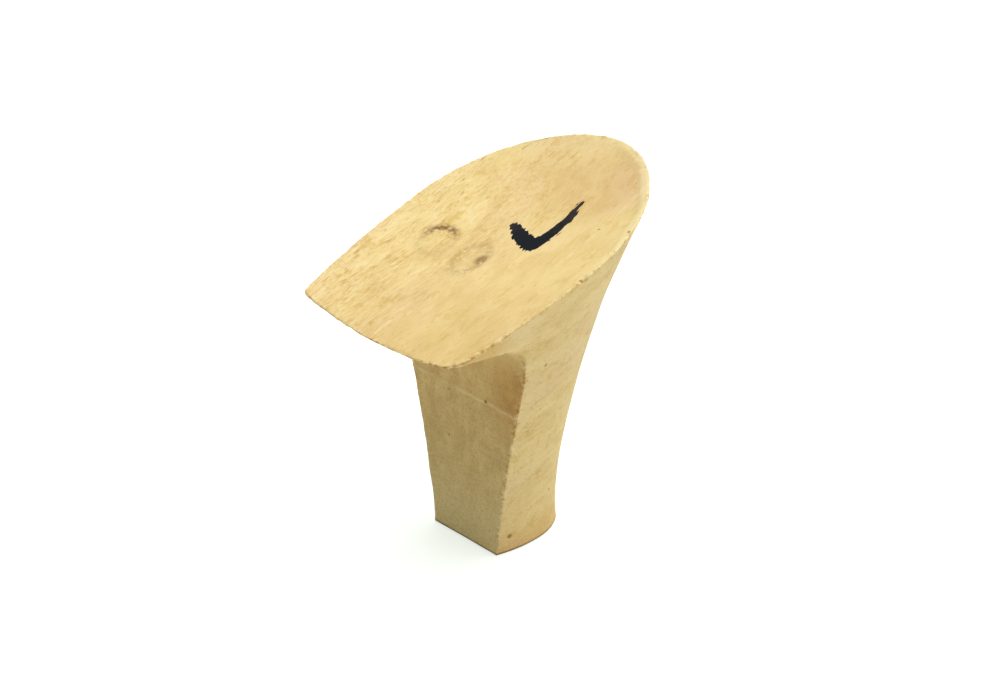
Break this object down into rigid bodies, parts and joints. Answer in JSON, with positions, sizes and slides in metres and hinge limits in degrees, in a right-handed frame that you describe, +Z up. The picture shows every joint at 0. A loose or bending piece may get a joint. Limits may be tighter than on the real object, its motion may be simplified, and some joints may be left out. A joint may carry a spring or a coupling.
{
  "type": "shoe heel block",
  "caption": "Carved wooden high heel core with a dished seat, a sharp front lip, a flat scooped breast and a small D-shaped tread.",
  "frame": {"origin": "centre of the tread, the small flat face the heel stands on", "axes": "+Z up from the tread to the seat, +Y to the back of the heel, -Y to the front lip and breast, X across the heel"},
  "size_m": [0.05, 0.0657, 0.0758],
  "materials": {
    "wood": "raw, finely sanded",
    "ink": "dry brushed ink"
  },
  "bodies": {
    "root": {"heel_block": "wood", "ink_mark": "ink"}
  },
  "joints": []
}
